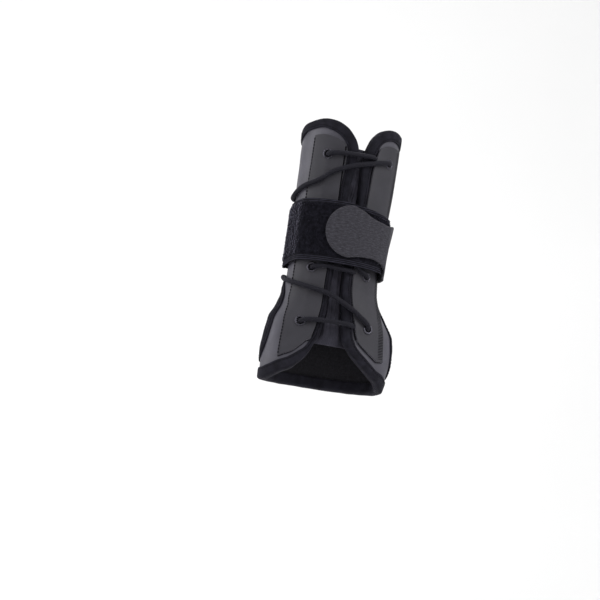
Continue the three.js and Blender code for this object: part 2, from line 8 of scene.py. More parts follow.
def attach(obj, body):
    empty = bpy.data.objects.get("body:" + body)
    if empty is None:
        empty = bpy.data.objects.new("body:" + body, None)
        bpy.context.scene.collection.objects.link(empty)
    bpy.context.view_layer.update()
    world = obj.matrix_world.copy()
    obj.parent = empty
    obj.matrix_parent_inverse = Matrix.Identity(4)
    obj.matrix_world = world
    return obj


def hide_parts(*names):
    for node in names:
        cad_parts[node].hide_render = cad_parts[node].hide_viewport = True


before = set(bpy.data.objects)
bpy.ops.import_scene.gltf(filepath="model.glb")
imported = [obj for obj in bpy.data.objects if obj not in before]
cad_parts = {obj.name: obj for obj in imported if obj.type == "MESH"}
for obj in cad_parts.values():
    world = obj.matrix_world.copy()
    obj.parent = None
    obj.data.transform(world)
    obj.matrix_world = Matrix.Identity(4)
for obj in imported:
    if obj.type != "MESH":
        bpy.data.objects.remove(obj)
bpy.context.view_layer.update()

# Sizes are in millimetres, as in the part's own tables, and become metres in the meshes. deg is the
# angle round the arm (0 at the back, 90 on the thumb side), and n is the height over the wrap's outer face.
MM = 0.001
RNG = np.random.default_rng(11)
# About how many millimetres round the arm a degree is, for patterns and rucks
WRAP_MM_PER_DEG = 0.54
STRAP_MM_PER_DEG = 0.6

WALL = 4.0
TAPE_HIGH = 1.45
PANEL_LOW = 0.35
PANEL_HIGH = 1.6
PANEL_BELOW_RIM = 10.4
PANEL_ABOVE_HEM = 9.8
# The panels' lower corners follow the photograph more closely than the part's plain solids
PANEL_CORNER = {
    "radial": {"from": 40, "to": 52, "rise": 3},
    "ulnar": {"from": -28, "to": -22.5, "rise": -4.2},
}
# Tape's turned-in width, which narrows and widens again over these degrees on the rim
RIM_LEG = {"full": 6.2, "narrowed": 1.3, "narrows": (230, 280), "widens": (328, 305)}
THUMB_LEG = 5.0
CORD_RADIUS = 1.7
EYELET_HOLE = 2.2
EYELET_RIM = 3.75
EYELET_PLAY = 0.5
EYELET_CROWN = {"foot": 0.12, "height": 0.75, "roundness": 0.8}
EYELET_BARREL = {"wall": 0.35, "depth": 1.2}
TONGUE = {"from": -34, "to": 30, "bottom": -42, "top": 98, "low": -7.6, "high": -5.9}
# The tongue swells through the opening, less towards its edges, bottom and top
SWELL = {"height": 2.6, "edge": (0.92, 0.55), "bottom": (0, 8), "top": (0, 10)}
# The hook strap's full width presses the pile of the plush strap flat, over these degrees
LOOP = {"from": -178, "to": 97, "thick": 2.4, "pressed": 1.0, "press": (45, 70), "press_end": (106, 98)}
HOOK = {"from": -26.8, "to": 172, "thick": 1.7, "tip": 0.4}
# The hook strap's upper edge stands proud where it turns round the thumb side
PROUD = {"height": 1.0, "rise": (50, 72), "fall": (105, 80), "edge": (0.55, 1)}
TAB = {"from": -150, "to": -124, "bottom": 2.6, "top": 67, "low": 0.3, "thick": 1.2}
THUMB = {"deg": 109, "z": -28.5, "half_deg": 25, "half_height": 25.5}


def table(names, *rows):
    """A table's columns by name."""
    return {name: np.array([row[i] for row in rows], float) for i, name in enumerate(names)}


SECTIONS = table(
    ("z", "half_width", "half_depth", "centre_x", "centre_y"),
    (-72, 42.5, 21.4, 0.5, -6), (-45, 45.9, 22, 2.7, -5), (-30, 44.8, 22.5, 2.9, -4),
    (-16, 37.9, 23.2, 2.2, -2), (-8, 34.4, 23.6, 1.3, -1), (0, 32.7, 23.9, 0.5, -0.4),
    (14, 31.8, 24.3, 0.3, 0), (45, 32.8, 25.4, 0.3, 0), (80, 34.4, 26.7, 0.3, 0), (118, 34.8, 28, 0.1, 0),
)
OPENING = table(
    ("z", "ulnar", "radial", "ulnar_leg", "radial_leg"),
    (-42, -21.2, 11.8, 2.4, 5.6), (-38, -18.6, 7.6, 2.3, 5.6), (-28, -17, 4.8, 2.2, 5.8),
    (-11, -16.4, 4.6, 2.2, 5), (9, -15.2, 5.2, 2.2, 4.1), (45, -12.6, 9, 2.8, 3.8),
    (60, -10.5, 9.8, 3.6, 3.8), (70, -8.4, 8.4, 4.8, 4.6), (83, -5.4, 7, 5.8, 5.4),
    (96, -4.6, 9.2, 6.2, 6),
)
RIM = table(
    ("deg", "z"),
    (9.2, 96), (10.4, 98.6), (13, 102.5), (16.1, 106), (22.1, 110), (29.5, 112.8), (37.3, 114.6),
    (48, 115.5), (59, 115.4), (75, 114.5), (104, 110.5), (180, 104), (256, 107.5), (281, 111.8),
    (292, 112.7), (303, 113.7), (312, 114.3), (321, 113.8), (329, 112.7), (337.3, 110.2), (343, 107.7),
    (347.3, 105.1), (351.3, 101.8), (354.1, 98.3), (355.4, 96),
)
HEM = table(
    ("deg", "z"),
    (11.8, -42), (14.5, -44.3), (21, -48.4), (32, -53.6), (44.3, -58.1), (54.6, -60.4), (66, -63.2),
    (80, -65.2), (120, -66.8), (180, -67.5), (240, -69), (279, -69.6), (297, -67.1), (310, -63.6),
    (320, -60.8), (328, -55.7), (333, -51.4), (336, -47.4), (338.8, -42),
)
HEM_LEG = table(
    ("deg", "leg"),
    (11.8, 4.7), (40, 4.7), (60, 6), (290, 6.4), (318, 6.4), (324, 5.9), (328, 5.1), (332, 4.5), (335, 3.2),
    (337.6, 2.4), (338.8, 2.4),
)
PANEL = table(
    ("z", "ulnar_in", "ulnar_out", "radial_in", "radial_out"),
    (-55, -27, -55, 27, 54), (-38, -23, -54.6, 19, 50.2), (-29, -21, -55.5, 14.6, 49.5),
    (-20, -20.6, -59, 14, 54), (-11, -20.6, -65, 13.9, 62), (0, -20.2, -66.5, 13.9, 65),
    (12, -19.7, -67.6, 13.9, 66), (50, -18.4, -63, 17.1, 66), (80, -18.8, -60, 17.9, 66),
    (92, -18.8, -59.6, 20.2, 66), (110, -18.4, -59.3, 29, 66),
)
EYELETS = table(
    ("ulnar", "ulnar_z", "radial", "radial_z"),
    (-37.5, 89.8, 40.2, 91.9), (-38, 50, 37, 50), (-38.9, 9.6, 33.4, 9.8), (-36.4, -29.4, 27.8, -26.9),
)
LOOP_SHAPE = table(
    ("deg", "z", "width"),
    (-180, 33, 41.6), (-110, 33.7, 41.6), (-75, 34.8, 43.6), (-20, 35.1, 43.6), (10, 34.7, 42.2),
    (40, 33.6, 39.6), (66, 31.6, 37.4), (100, 29.9, 37.4),
)
LOOP_LIFT = table(
    ("deg", "lift"),
    (-180, 0.6), (-162, 0.6), (-155, 2), (-119, 2), (-110, 0.7), (-86, 0.7), (-70, 2.3), (-52, 6.4),
    (45, 6.4), (60, 2.4), (70, 2), (84, 0.7), (100, 0.7),
)
HOOK_LIFT = table(
    ("deg", "lift"),
    (-30, 9), (45, 9), (60, 5), (70, 4.6), (84, 3.3), (101, 3.3), (112, 0.7), (180, 0.6),
)
HOOK_SHAPE = table(
    ("deg", "z", "width"),
    (-1, 36.5, 36.2), (10, 36.1, 31.8), (17, 35.2, 29), (28, 34.6, 26.9), (38, 33.6, 27.5),
    (46, 32.3, 30.6), (57, 31, 36.8), (70, 31.2, 39.5), (110, 31.6, 39), (180, 33, 39),
)

# The lace's route, as in the part: deg, z and height n
UNDER, INSIDE, MOUTH, OVER, CROSSING, ON_WRAP = -1.5, 1.2, 3.6, 3.7, 3.3, 1.9
LACE = table(
    ("deg", "z", "n"),
    (-122.7, 61.5, ON_WRAP), (-104, 61, ON_WRAP), (-88, 62, ON_WRAP), (-78, 64.2, ON_WRAP),
    (-67, 66.2, 2.6), (-58, 67.5, OVER), (-48.7, 69.2, OVER), (-38.2, 72.6, OVER), (-29.8, 76.6, OVER),
    (-20.4, 79.7, OVER), (-8.8, 82.9, OVER), (3.2, 85.6, OVER), (18.9, 88.8, OVER), (30.5, 90.9, 4.4),
    (37.7, 91.8, MOUTH), (40.2, 91.9, INSIDE), (37.2, 92, -0.9), (31.7, 92.1, UNDER), (25, 92.2, UNDER),
    (19.5, 92.2, 0.5), (13.5, 92.2, CROSSING), (2, 91.8, CROSSING), (-15, 91.3, 3.5), (-28, 90.7, 4.4),
    (-35, 89.9, MOUTH), (-37.5, 89.8, INSIDE), (-37.5, 88.1, -0.9), (-37.6, 85, UNDER),
    (-37.8, 70, UNDER), (-38, 54.8, UNDER), (-38, 51.7, -0.9), (-38, 50, INSIDE), (-35.5, 50, MOUTH),
    (-27, 50, 4.3), (-14, 50.2, 3.6), (2, 50.4, CROSSING), (11.5, 50.5, CROSSING), (18.5, 50.4, 0.5),
    (23.5, 50.2, UNDER), (29, 50, UNDER), (34.2, 50, -0.9), (37, 50, INSIDE), (36, 48.4, MOUTH),
    (31, 43.5, 4.3), (23, 38, OVER), (14, 32, OVER), (10, 26, OVER), (12.5, 18.5, OVER),
    (18, 13.8, OVER), (25.5, 11.3, 4.3), (30.9, 10, MOUTH), (33.4, 9.8, INSIDE), (30.4, 9.8, -0.9),
    (25.4, 10, UNDER), (20.5, 10.2, UNDER), (15.2, 10.4, 0.5), (9, 10.7, CROSSING), (-8, 11, CROSSING),
    (-18.8, 11.5, 3.6), (-28.5, 11, 4.3), (-36.4, 9.7, MOUTH), (-38.9, 9.6, INSIDE), (-38.9, 7.9, -0.9),
    (-38.9, 4.6, UNDER), (-38, -10, UNDER), (-36.6, -24.4, UNDER), (-36.4, -27.7, -0.9),
    (-36.4, -29.4, INSIDE), (-34.3, -29.2, MOUTH), (-28, -28.1, 4.3), (-19.4, -27.4, 3.6),
    (-4, -27, CROSSING), (8.5, -27, CROSSING), (13.4, -27, 0.5), (17, -27, UNDER), (21.5, -27, UNDER),
    (25.6, -26.9, -0.9), (27.8, -26.9, INSIDE), (26.8, -25.4, MOUTH), (23.5, -23, 4.3),
    (19.5, -20.5, OVER), (14, -17.4, OVER), (8.9, -15.4, OVER), (0.9, -12.6, OVER), (-10.2, -9, OVER),
    (-18.7, -7.2, OVER), (-28.7, -6, OVER), (-41, -4.6, OVER), (-62, -2.1, OVER), (-72, -0.8, 2.8),
    (-86, 1, ON_WRAP), (-104, 3.8, ON_WRAP), (-122.7, 5, ON_WRAP),
)


# Curves through the tables
def hermite(x, y, slope, at):
    """A cubic between each two points x, y, with the given slopes."""
    i = np.clip(np.searchsorted(x, at, "right") - 1, 0, len(x) - 2)
    shape = np.shape(at) + (1,) * (y.ndim - 1)
    step = (x[i + 1] - x[i]).reshape(shape)
    t = (at - x[i]).reshape(shape) / step
    back = 1 - t
    low = (1 + 2 * t) * back ** 2 * y[i] + t * back ** 2 * step * slope[i]
    return low + t ** 2 * (3 - 2 * t) * y[i + 1] - t ** 2 * back * step * slope[i + 1]


def through(rows, along, key):
    """A smooth curve through a table's rows, with no overshoot between them."""
    x, y = rows[along], rows[key]
    rise = np.diff(y) / np.diff(x)
    product = rise[:-1] * rise[1:]
    total = np.where(product > 0, rise[:-1] + rise[1:], 1)
    middle = np.where(product > 0, 2 * product / total, 0)
    slope = np.concatenate([rise[:1], middle, rise[-1:]])
    return lambda value: hermite(x, y, slope, np.clip(np.asarray(value, float), x[0], x[-1]))


def curves(rows):
    """Curves along a table's first column, one through each of the others."""
    along, *others = rows
    return [through(rows, along, key) for key in others]


half_width, half_depth, centre_x, centre_y = curves(SECTIONS)
ulnar_edge, radial_edge, ulnar_leg, radial_leg = curves(OPENING)
loop_line, loop_width = curves(LOOP_SHAPE)
hook_line, hook_breadth = curves(HOOK_SHAPE)
rim_at = through(RIM, "deg", "z")
hem_at = through(HEM, "deg", "z")
hem_leg = through(HEM_LEG, "deg", "leg")
loop_lift = through(LOOP_LIFT, "deg", "lift")
hook_lift = through(HOOK_LIFT, "deg", "lift")


def mix(a, b, t):
    """The value a share t of the way from a to b."""
    return a + (b - a) * t


def smooth(low, high, value):
    """A soft step from 0 at low to 1 at high."""
    t = np.clip((np.asarray(value, float) - low) / (high - low), 0, 1)
    return t * t * (3 - 2 * t)


def unit(vectors):
    """Vectors made 1 long."""
    return vectors / np.linalg.norm(vectors, axis=-1, keepdims=True)


def circle(count):
    """Angles evenly round a circle."""
    return np.linspace(0, 2 * math.pi, count, endpoint=False)


def travelled(points, axis=0, power=1):
    """Distance along each row of points, from its first one; each step is raised to a power."""
    length = np.linalg.norm(np.diff(points, axis=axis), axis=-1) ** power
    return np.insert(np.cumsum(length, axis), 0, 0, axis)


def form(deg, z):
    """Points on the wrap's outer face."""
    angle = np.radians(deg)
    x = centre_x(z) + half_width(z) * np.sin(angle)
    y = centre_y(z) - half_depth(z) * np.cos(angle)
    return np.stack(np.broadcast_arrays(x, y, z), -1)


def on_wrap(deg, z, n):
    """Points at height n over the wrap's outer face."""
    step = 0.05
    deg, z = np.asarray(deg, float), np.asarray(z, float)
    across = form(deg + step, z) - form(deg - step, z)
    up = form(deg, z + step) - form(deg, z - step)
    return form(deg, z) + unit(np.cross(across, up)) * np.asarray(n, float)[..., None]


def mm_per_deg(deg, z):
    """Millimetres round the arm for a degree at a place."""
    return np.linalg.norm(form(deg + 0.5, z) - form(deg - 0.5, z), axis=-1)


def waviness(seed, scale_mm, height_mm):
    """A smooth random height over the wrap, about height_mm up and down, with bumps about scale_mm long."""
    count, slowest, fastest, peak = 9, 0.6, 1.6, 1.3
    rng = np.random.default_rng(seed)
    turn = rng.uniform(0, 2 * math.pi, count)
    pitch = rng.uniform(slowest, fastest, count) * 2 * math.pi / scale_mm
    phase = rng.uniform(0, 2 * math.pi, count)

    def height(a, b):
        waves = [
            np.sin(p * (np.cos(t) * a + np.sin(t) * b) + f) for t, p, f in zip(turn, pitch, phase)
        ]
        return height_mm * sum(waves) / math.sqrt(count) / peak

    return height


# Meshes
def add(name, data):
    """A new object in the scene."""
    made = bpy.data.objects.new(name, data)
    bpy.context.scene.collection.objects.link(made)
    return made


def on_cloth(along, across):
    """Places on the flat cloth, from millimetres along and across it."""
    return np.stack(np.broadcast_arrays(along, across, 0.0), -1).reshape(-1, 3)


def build(name, points, faces, materials, cloth=None, face_material=None):
    """A mesh object from points in millimetres and faces, riding on the part's one body.

    One that has a node's name replaces that node. cloth gives each point's place on the flat cloth,
    which the materials' patterns follow.
    """
    mesh = bpy.data.meshes.new(name)
    sides = faces.shape[1]
    mesh.vertices.add(len(points))
    mesh.vertices.foreach_set("co", (points * MM).ravel())
    mesh.loops.add(faces.size)
    mesh.loops.foreach_set("vertex_index", faces.ravel().astype(np.int32))
    mesh.polygons.add(len(faces))
    mesh.polygons.foreach_set("loop_start", np.arange(0, faces.size, sides, dtype=np.int32))
    if face_material is not None:
        mesh.polygons.foreach_set("material_index", face_material.astype(np.int32))
    mesh.update(calc_edges=True)
    mesh.validate()
    mesh.shade_smooth()
    for material in materials:
        mesh.materials.append(material)
    if cloth is not None:
        attribute = mesh.attributes.new("cloth", "FLOAT_VECTOR", "POINT")
        attribute.data.foreach_set("vector", (cloth * MM).ravel())
    is_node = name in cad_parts
    piece = add(f"{name}_form" if is_node else name, mesh)
    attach(piece, "root")
    if is_node:
        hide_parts(name)
    return piece


def steps(count, length, radius):
    """Places from 0 to 1 along a length, closer together within a radius of each end."""
    shares = np.array([0, 0.1, 0.3, 0.6, 1.0])
    edge = shares * radius / length
    inside = np.linspace(edge[-1], 1 - edge[-1], count)
    return np.concatenate([edge[:-1], inside, 1 - edge[-2::-1]])


def grid(counts, lengths, radius):
    """Shares s and t from 0 to 1 over a wall, with counts and lengths in both directions."""
    s, t = (steps(count, length, radius) for count, length in zip(counts, lengths))
    return np.meshgrid(s, t, indexing="ij")


# Each side of a cell in a grid: the step to the cell beyond it, and its two corners
CELL_SIDES = {(-1, 0): (3, 0), (1, 0): (1, 2), (0, -1): (0, 1), (0, 1): (2, 3)}


def wall(
    name, deg, z, low, high, materials, radius,
    keep=None, cloth_up=None, zones=(0, 0, 0), outer_zone=None,
):
    """A closed cloth wall over a grid of places, rounded along its edges.

    keep marks the cells of the grid that are there. cloth_up gives heights on the flat cloth where
    they aren't z. zones gives the materials' numbers of the outer face, the inner face and the cut
    edge, and outer_zone those of the outer face's cells.
    """
    outer, inner, cut = zones
    thinnest = 0.06
    centre = (low + high) / 2
    middle = on_wrap(deg, z, centre)
    rows, columns = deg.shape

    def from_edge(axis):
        start = travelled(middle, axis)
        return np.minimum(start, start.max(axis, keepdims=True) - start)

    edge = np.minimum(from_edge(0), from_edge(1))
    taper = np.sqrt(1 - (1 - np.clip(edge / radius, thinnest, 1)) ** 2)
    half = (high - low) / 2 * taper
    points = np.concatenate([on_wrap(deg, z, n).reshape(-1, 3) for n in (centre + half, centre - half)])
    if keep is None:
        keep = np.ones((rows - 1, columns - 1), bool)
    back = rows * columns
    index = np.arange(back).reshape(rows, columns)
    corners = np.stack([index[:-1, :-1], index[1:, :-1], index[1:, 1:], index[:-1, 1:]], -1)
    top = corners[keep]
    faces = [top, top[:, ::-1] + back]
    outer_marks = np.full(len(top), outer) if outer_zone is None else outer_zone[keep]
    marks = [outer_marks, np.full(len(top), inner)]
    padded = np.pad(keep, 1)
    for (di, dj), (a, b) in CELL_SIDES.items():
        beyond = padded[1 + di:rows + di, 1 + dj:columns + dj]
        open_cells = corners[keep & ~beyond]
        first, second = open_cells[:, a], open_cells[:, b]
        faces.append(np.stack([second, first, first + back, second + back], -1))
        marks.append(np.full(len(open_cells), cut))
    faces = np.concatenate(faces)
    used, renumbered = np.unique(faces, return_inverse=True)
    faces = renumbered.reshape(faces.shape)
    cloth = on_cloth(deg * WRAP_MM_PER_DEG, z if cloth_up is None else cloth_up)
    cloth = np.tile(cloth, (2, 1))[used]
    return build(name, points[used], faces, materials, cloth, np.concatenate(marks))


def loft(sections, closed):
    """Quads between rows of points that are rings; the rows close on themselves if closed."""
    count, around = sections.shape[:2]
    index = np.arange(count * around).reshape(count, around)
    here = index if closed else index[:-1]
    after = np.roll(index, -1, 0) if closed else index[1:]
    quads = [here, after, np.roll(after, -1, 1), np.roll(here, -1, 1)]
    return np.stack(quads, -1).reshape(-1, 4)


def outward(points, faces):
    """Faces turned so that the closed body's volume is positive."""
    corner = points[faces]
    volume = sum((corner[:, 0] * np.cross(corner[:, k], corner[:, k + 1])).sum() for k in (1, 2))
    return faces if volume > 0 else faces[:, ::-1]


# Materials
class Graph:
    """Short names for making a material's nodes."""

    def __init__(self, name):
        self.material = bpy.data.materials.new(name)
        self.material.use_nodes = True
        self.tree = self.material.node_tree
        self.shader = self.tree.nodes["Principled BSDF"]

    def node(self, kind, inputs=None, **settings):
        made = self.tree.nodes.new(kind)
        for key, value in settings.items():
            setattr(made, key, value)
        for key, value in (inputs or {}).items():
            self.put(made.inputs[key], value)
        return made

    def put(self, socket, value):
        if isinstance(value, bpy.types.NodeSocket):
            self.tree.links.new(value, socket)
        else:
            socket.default_value = value

    def set(self, **values):
        for key, value in values.items():
            self.put(self.shader.inputs[key.replace("_", " ")], value)

    def cloth(self):
        return self.node("ShaderNodeAttribute", attribute_name="cloth").outputs["Vector"]

    def place(self):
        return self.node("ShaderNodeTexCoord").outputs["Object"]

    def stretch(self, vector, scale):
        return self.node("ShaderNodeMapping", {"Vector": vector, "Scale": scale}).outputs["Vector"]

    def noise(self, vector, scale, detail=2.0, roughness=0.5):
        values = {"Vector": vector, "Scale": scale, "Detail": detail, "Roughness": roughness}
        return self.node("ShaderNodeTexNoise", values).outputs["Fac"]

    def cells(self, vector, scale):
        return self.node("ShaderNodeTexVoronoi", {"Vector": vector, "Scale": scale}).outputs["Distance"]

    def wave(self, vector, scale, axis="X", distortion=0.0):
        values = {"Vector": vector, "Scale": scale, "Distortion": distortion}
        return self.node("ShaderNodeTexWave", values, bands_direction=axis).outputs["Fac"]

    def math(self, operation, a, b):
        return self.node("ShaderNodeMath", {0: a, 1: b}, operation=operation).outputs[0]

    def tones(self, value, *stops):
        """The base colour, between colours at stops of a value from 0 to 1."""
        ramp = self.node("ShaderNodeValToRGB", {"Fac": value})
        elements = ramp.color_ramp.elements
        while len(elements) < len(stops):
            elements.new(0.5)
        for element, (position, colour) in zip(elements, stops):
            element.position = position
            element.color = (*colour, 1)
        self.set(Base_Color=ramp.outputs["Color"])

    def roughness(self, noise, low, high):
        """Roughness from low to high over the range that most of a noise lies in."""
        values = {"Value": noise, "From Min": 0.3, "From Max": 0.7, "To Min": low, "To Max": high}
        self.set(Roughness=self.node("ShaderNodeMapRange", values).outputs["Result"])

    def sheen(self, weight, roughness):
        self.set(Sheen_Weight=weight, Sheen_Roughness=roughness, Sheen_Tint=COOL)

    def relief(self, *layers):
        """Bumps on bumps, each with its height, strength and distance in metres."""
        below = {}
        for height, strength, distance in layers:
            values = {"Height": height, "Strength": strength, "Distance": distance, **below}
            below = {"Normal": self.node("ShaderNodeBump", values).outputs["Normal"]}
        self.set(**below)


COOL = (0.8, 0.78, 1, 1)
GREEN_SHARE = 0.965
BLACK_BLUE = 1.42


def grey(level, blue=1.18):
    """A grey with the faint violet cast that all the cloth has."""
    return (level, level * GREEN_SHARE, level * blue)


def black(level):
    """A black with the stronger blue cast of the tape, lace and plush strap."""
    return grey(level, BLACK_BLUE)


def wrap_material():
    g = Graph("grey_laminate")
    cloth = g.cloth()
    mottle = g.noise(cloth, 90, 4)
    fine = g.noise(cloth, 1400, 3)
    weave = g.math("MULTIPLY", g.wave(cloth, 330, "X"), g.wave(cloth, 330, "Y"))
    g.tones(mottle, (0.25, grey(0.044, 1.24)), (0.75, grey(0.065, 1.24)))
    g.roughness(fine, 0.42, 0.56)
    g.set(Specular_IOR_Level=0.35)
    g.relief((weave, 0.25, 0.0002), (fine, 0.2, 0.0003))
    return g.material


def lining_material():
    g = Graph("dark_lining")
    nap = g.noise(g.place(), 900, 4, 0.65)
    g.tones(nap, (0.3, grey(0.008)), (0.75, grey(0.02)))
    g.set(Roughness=0.95, Specular_IOR_Level=0.1, Sheen_Weight=0.08, Sheen_Roughness=0.5)
    g.relief((nap, 0.6, 0.0005))
    return g.material


def tape_material():
    g = Graph("black_tape")
    cloth = g.cloth()
    ribs = g.wave(cloth, 520, "X", 0.6)
    fuzz = g.noise(cloth, 1600, 3)
    tone = g.noise(cloth, 160, 3)
    g.tones(tone, (0.3, black(0.006)), (0.75, black(0.015)))
    g.roughness(fuzz, 0.66, 0.86)
    g.set(Specular_IOR_Level=0.08)
    g.sheen(0.03, 0.4)
    g.relief((ribs, 0.55, 0.0003), (fuzz, 0.25, 0.0002))
    return g.material


def panel_material():
    g = Graph("charcoal_leatherette")
    cloth = g.cloth()
    grain = g.cells(cloth, 1500)
    broad = g.noise(cloth, 60, 3)
    fine = g.noise(cloth, 2600, 2)
    g.tones(broad, (0.2, grey(0.022, 1.2)), (0.8, grey(0.033, 1.2)))
    g.roughness(fine, 0.5, 0.64)
    g.set(Specular_IOR_Level=0.25)
    g.relief((grain, 0.3, 0.0002), (fine, 0.15, 0.0001))
    return g.material


# The panels' cut edges are light grey: partly the cut cloth's own colour, partly a painted highlight for
# the light caught along the panels' thin edges
def cut_edge_and_highlight_material():
    g = Graph("panel_cut_edge_and_highlight")
    fibre = g.noise(g.place(), 1800, 3)
    g.tones(fibre, (0.3, grey(0.14)), (0.75, grey(0.26)))
    g.set(Roughness=0.85)
    g.relief((fibre, 0.5, 0.0002))
    return g.material


def metal_material():
    g = Graph("dark_plated_metal")
    scuff = g.noise(g.place(), 1300, 4)
    g.tones(scuff, (0.35, grey(0.028)), (0.7, grey(0.1)))
    g.set(Metallic=1.0)
    g.roughness(scuff, 0.24, 0.42)
    return g.material


def knit_material():
    g = Graph("dark_knit")
    cloth = g.cloth()
    ribs = g.wave(cloth, 260, "X", 1.2)
    loops = g.wave(cloth, 420, "Y", 1.5)
    fuzz = g.noise(cloth, 1500, 3)
    tone = g.noise(cloth, 130, 3)
    g.tones(tone, (0.3, grey(0.018, 1.28)), (0.75, grey(0.043, 1.28)))
    g.set(Roughness=0.92, Specular_IOR_Level=0.08)
    g.sheen(0.05, 0.5)
    g.relief((g.math("MULTIPLY", ribs, loops), 0.6, 0.0004), (fuzz, 0.3, 0.0003))
    return g.material


def lace_material():
    g = Graph("black_braid")
    fibre = g.noise(g.stretch(g.cloth(), (900, 3500, 900)), 1.0, 3)
    g.tones(fibre, (0.3, black(0.005)), (0.8, black(0.016)))
    g.set(Roughness=0.7, Specular_IOR_Level=0.12)
    g.sheen(0.04, 0.4)
    g.relief((fibre, 0.4, 0.0002))
    return g.material


def pile_material():
    g = Graph("black_pile")
    place = g.place()
    tuft = g.cells(place, 1100)
    clump = g.noise(place, 420, 4, 0.65)
    g.tones(clump, (0.35, black(0.003)), (0.7, black(0.011)))
    g.set(Roughness=0.95, Specular_IOR_Level=0.04)
    g.sheen(0.7, 0.25)
    g.relief((clump, 0.5, 0.0008), (tuft, 0.6, 0.0004))
    return g.material


def selvedge_material():
    g = Graph("black_selvedge")
    cloth = g.cloth()
    ribs = g.wave(cloth, 480, "X", 0.5)
    cords = g.math("MULTIPLY", g.wave(cloth, 245, "Y", 0.3), g.noise(cloth, 300, 3))
    g.tones(cords, (0.1, black(0.002)), (0.5, black(0.027)))
    g.set(Roughness=0.8, Specular_IOR_Level=0.08)
    g.relief((ribs, 0.5, 0.0003))
    return g.material


def heather_material():
    g = Graph("heathered_fabric")
    cloth = g.cloth()
    streak = g.noise(g.stretch(cloth, (420, 1300, 900)), 1.0, 4, 0.65)
    fleck = g.noise(cloth, 2300, 2)
    blend = g.math("ADD", g.math("MULTIPLY", streak, 0.65), g.math("MULTIPLY", fleck, 0.35))
    g.tones(blend, (0.36, grey(0.019)), (0.5, grey(0.032)), (0.64, grey(0.054)))
    g.set(Roughness=0.9, Specular_IOR_Level=0.12, Sheen_Weight=0.06, Sheen_Roughness=0.5)
    g.relief((streak, 0.5, 0.0004), (fleck, 0.4, 0.0002))
    return g.material


def thread_material():
    g = Graph("black_thread")
    twist = g.noise(g.place(), 2600, 2)
    g.tones(twist, (0.3, black(0.002)), (0.8, black(0.007)))
    g.set(Roughness=0.75, Specular_IOR_Level=0.08)
    g.relief((twist, 0.4, 0.0002))
    return g.material


def floor_material():
    g = Graph("pale_floor")
    tone = g.noise(g.place(), 3, 2)
    g.tones(tone, (0.3, (0.9, 0.9, 0.9)), (0.7, (0.92, 0.92, 0.92)))
    g.set(Roughness=0.9)
    return g.material


LAMINATE = wrap_material()
LINING = lining_material()
TAPE = tape_material()
LEATHERETTE = panel_material()
CUT_EDGE_AND_HIGHLIGHT = cut_edge_and_highlight_material()
METAL = metal_material()
KNIT = knit_material()
BRAID = lace_material()
PILE = pile_material()
SELVEDGE = selvedge_material()
HEATHER = heather_material()
THREAD = thread_material()


# Lines
def lace_line():
    """Points along the middle of the lace, smoothed through its table."""
    per_segment = 14
    points = on_wrap(LACE["deg"], LACE["z"], LACE["n"])
    knots = travelled(points, power=0.5)
    at = np.append(np.linspace(knots[:-1], knots[1:], per_segment, endpoint=False, axis=1), knots[-1])
    return hermite(knots, points, np.gradient(points, knots, axis=0), at)


LACE_POINTS = lace_line()


def evenly(points, spacing, closed=False):
    """Points a fixed distance apart along a line, with any values that follow their x, y and z."""
    if closed:
        points = np.concatenate([points, points[:1]])
    travel = travelled(points[:, :3])
    count = max(2, int(round(travel[-1] / spacing)))
    at = np.linspace(0, travel[-1], count + 1)
    if closed:
        at = at[:-1]
    return np.stack([np.interp(at, travel, values) for values in points.T], -1)


# Wrap
def outline_bottom(s):
    """Places along the hem, from the thumb side round the palm."""
    deg = mix(HEM["deg"][0], HEM["deg"][-1], s)
    return deg, hem_at(deg)


def outline_top(s):
    """Places along the rim, the same way round."""
    deg = mix(RIM["deg"][0], RIM["deg"][-1], s)
    return deg, rim_at(deg)


def outline_ulnar(t):
    """Places up the opening's edge on the little-finger side, a turn further round."""
    z = mix(OPENING["z"][0], OPENING["z"][-1], t)
    return ulnar_edge(z) + 360, z


def outline_radial(t):
    """Places up the opening's edge on the thumb side."""
    z = mix(OPENING["z"][0], OPENING["z"][-1], t)
    return radial_edge(z), z


def patch(bottom, top, start, end, s, t):
    """Places between four edges."""
    first, last = np.array(0.0), np.array(1.0)
    result = []
    for k in (0, 1):
        upward = mix(bottom(s)[k], top(s)[k], t)
        sideways = mix(start(t)[k], end(t)[k], s)
        low = mix(bottom(first)[k], bottom(last)[k], s)
        high = mix(top(first)[k], top(last)[k], s)
        result.append(upward + sideways - mix(low, high, t))
    return result


def thumb_line(side):
    """Places round a thumb hole, on the thumb side for 1 and the other for -1, with the tape's width."""
    angle = circle(200)
    deg = side * (THUMB["deg"] + THUMB["half_deg"] * np.cos(angle))
    z = THUMB["z"] + THUMB["half_height"] * np.sin(angle)
    return np.stack(np.broadcast_arrays(deg, z, THUMB_LEG), -1)


def thumb_inside(deg, z):
    """Below 1 inside a thumb hole."""
    from_back = np.abs((deg + 180) % 360 - 180)
    across = (from_back - THUMB["deg"]) / THUMB["half_deg"]
    up = (z - THUMB["z"]) / THUMB["half_height"]
    return across ** 2 + up ** 2


def cell_middles(values):
    """A grid's values at the middles of its cells."""
    return (values[1:, 1:] + values[:-1, :-1]) / 2


def make_shell():
    s, t = np.meshgrid(np.linspace(0, 1, 250), np.linspace(0, 1, 150), indexing="ij")
    deg, z = patch(outline_bottom, outline_top, outline_radial, outline_ulnar, s, t)
    ruck = waviness(seed=3, scale_mm=26, height_mm=0.22)(deg * WRAP_MM_PER_DEG, z)
    flat_by_opening = (20, 45)
    ruck *= smooth(*flat_by_opening, np.minimum(deg, 360 - deg))
    hidden_under_tape = 1.05
    keep = thumb_inside(cell_middles(deg), cell_middles(z)) > hidden_under_tape
    return wall(
        "shell", deg, z, -WALL, ruck, [LAMINATE, LINING], radius=0.4, keep=keep, zones=(0, 1, 0),
    )


# Folded tape over the edges

